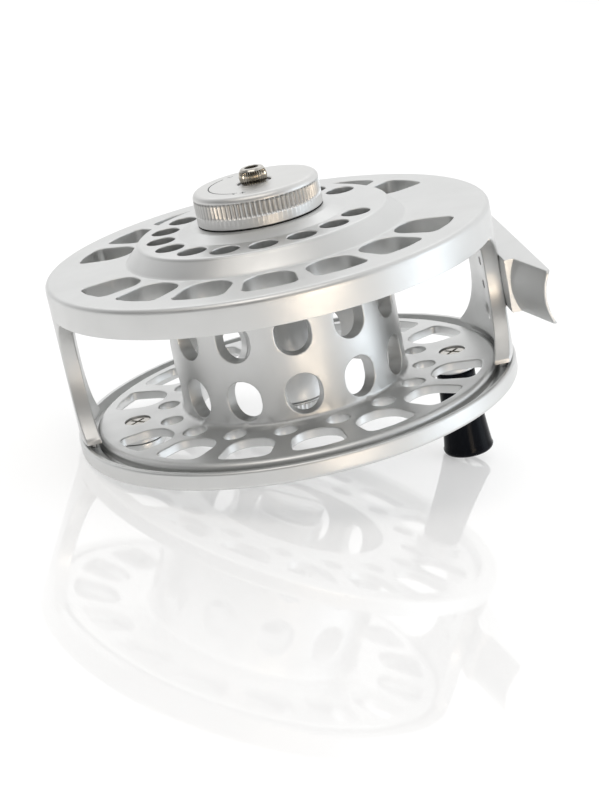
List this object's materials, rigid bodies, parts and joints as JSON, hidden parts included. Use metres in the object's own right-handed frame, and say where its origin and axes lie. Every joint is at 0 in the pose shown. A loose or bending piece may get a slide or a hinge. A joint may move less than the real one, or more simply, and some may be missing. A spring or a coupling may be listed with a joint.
{
  "type": "fly_reel",
  "caption": "Large-arbor fly reel with a ported half frame, palming-ring spool, internal disc drag, knurled drag knob and a slim winding handle",
  "frame": {"origin": "On the spool axis, at the middle of the line channel between the two spool flanges", "axes": "+Z runs along the spool axis towards the drag knob, +X points out of the rod foot, +Y completes the right-handed frame along the foot"},
  "size_m": [0.1002, 0.0952, 0.0719],
  "materials": {
    "anodised_silver": "bead-blasted, clear anodised",
    "turned_steel": "turned",
    "nickel": "satin nickel plate",
    "bearing_steel": "ground",
    "spring_steel": "plain",
    "friction_carbon": "woven carbon",
    "brass": "turned",
    "rubber": "moulded",
    "black_acetal": "polished"
  },
  "bodies": {
    "frame": {"frame": "anodised_silver", "reel_foot": "anodised_silver", "foot_screws": "nickel", "main_spindle": "turned_steel", "drag_cover": "anodised_silver", "drag_cover_screws": "nickel", "pressure_plate": "anodised_silver", "upper_friction_disc": "friction_carbon", "lower_friction_disc": "friction_carbon", "knob_o_ring": "rubber", "knob_detent_spring": "spring_steel", "click_spring": "spring_steel", "belleville_springs": "spring_steel", "knob_washer": "spring_steel", "knob_screw": "nickel"},
    "knob": {"drag_knob": "anodised_silver"},
    "nut": {"drag_nut": "brass", "push_pins": "turned_steel", "thrust_washer": "turned_steel"},
    "rotor": {"drag_rotor": "turned_steel", "one_way_clutch": "bearing_steel"},
    "hub": {"drive_hub": "turned_steel"},
    "bearing_inners": {"front_bearing_inner": "bearing_steel", "rear_bearing_inner": "bearing_steel", "bearing_spacer": "turned_steel"},
    "bearing_ball_sets": {"front_bearing_balls": "bearing_steel", "rear_bearing_balls": "bearing_steel"},
    "spool_assembly": {"spool": "anodised_silver", "front_bearing_outer": "bearing_steel", "rear_bearing_outer": "bearing_steel", "bearing_clip": "spring_steel", "click_gear": "turned_steel", "handle_spindle": "turned_steel", "handle_screw": "nickel", "handle_washer": "turned_steel", "counterweight": "anodised_silver", "counterweight_screw": "nickel"},
    "handle": {"handle_knob": "black_acetal", "handle_bushes": "brass"},
    "cap": {"spool_cap": "anodised_silver", "cap_o_ring": "rubber"},
    "knob_detent": {"knob_detent_ball": "bearing_steel"},
    "click": {"click_plunger": "turned_steel"}
  },
  "joints": [
    {"name": "spool_release", "type": "slide", "parent": "frame", "child": "bearing_inners", "axis": [0, 0, -1], "range_m": [0, 0.04]},
    {"name": "spool_spin", "type": "hinge", "parent": "bearing_inners", "child": "spool_assembly", "pos_m": [0, 0, 0], "axis": [0, 0, 1], "continuous": true},
    {"name": "bearing_ball_roll", "type": "hinge", "parent": "bearing_inners", "child": "bearing_ball_sets", "pos_m": [0, 0, 0], "axis": [0, 0, 1], "continuous": true},
    {"name": "handle_spin", "type": "hinge", "parent": "spool_assembly", "child": "handle", "pos_m": [0.0347, 0, -0.027], "axis": [0, 0, 1], "continuous": true},
    {"name": "spool_cap_turn", "type": "hinge", "parent": "bearing_inners", "child": "cap", "pos_m": [0, 0, -0.016], "axis": [0, 0, 1], "range_deg": [0, 1080]},
    {"name": "drag_knob_turn", "type": "hinge", "parent": "frame", "child": "knob", "pos_m": [0, 0, 0.0286], "axis": [0, 0, 1], "range_deg": [0, 240]},
    {"name": "drag_nut_slide", "type": "slide", "parent": "frame", "child": "nut", "axis": [0, 0, 1], "range_m": [-0.0007, 0], "deforming": ["belleville_springs"]},
    {"name": "drag_rotor_spin", "type": "hinge", "parent": "frame", "child": "rotor", "pos_m": [0, 0, 0.016], "axis": [0, 0, 1], "continuous": true},
    {"name": "drive_hub_spin", "type": "hinge", "parent": "frame", "child": "hub", "pos_m": [0, 0, 0.0135], "axis": [0, 0, 1], "continuous": true},
    {"name": "knob_detent_slide", "type": "slide", "parent": "frame", "child": "knob_detent", "axis": [0, 0, 1], "range_m": [0, 0.00035], "stiffness_N_per_m": 20},
    {"name": "click_plunger_slide", "type": "slide", "parent": "frame", "child": "click", "axis": [0, -1, 0], "range_m": [0, 0.0007], "stiffness_N_per_m": 20}
  ],
  "couplings": [
    {"joint": "bearing_ball_roll", "follows": "spool_spin", "ratio": 0.6},
    {"joint": "drag_nut_slide", "follows": "drag_knob_turn", "m_per_rad": -0.00016711},
    {"joint": "drag_rotor_spin", "follows": "spool_spin", "ratio": 1},
    {"joint": "drive_hub_spin", "follows": "spool_spin", "ratio": 1}
  ]
}
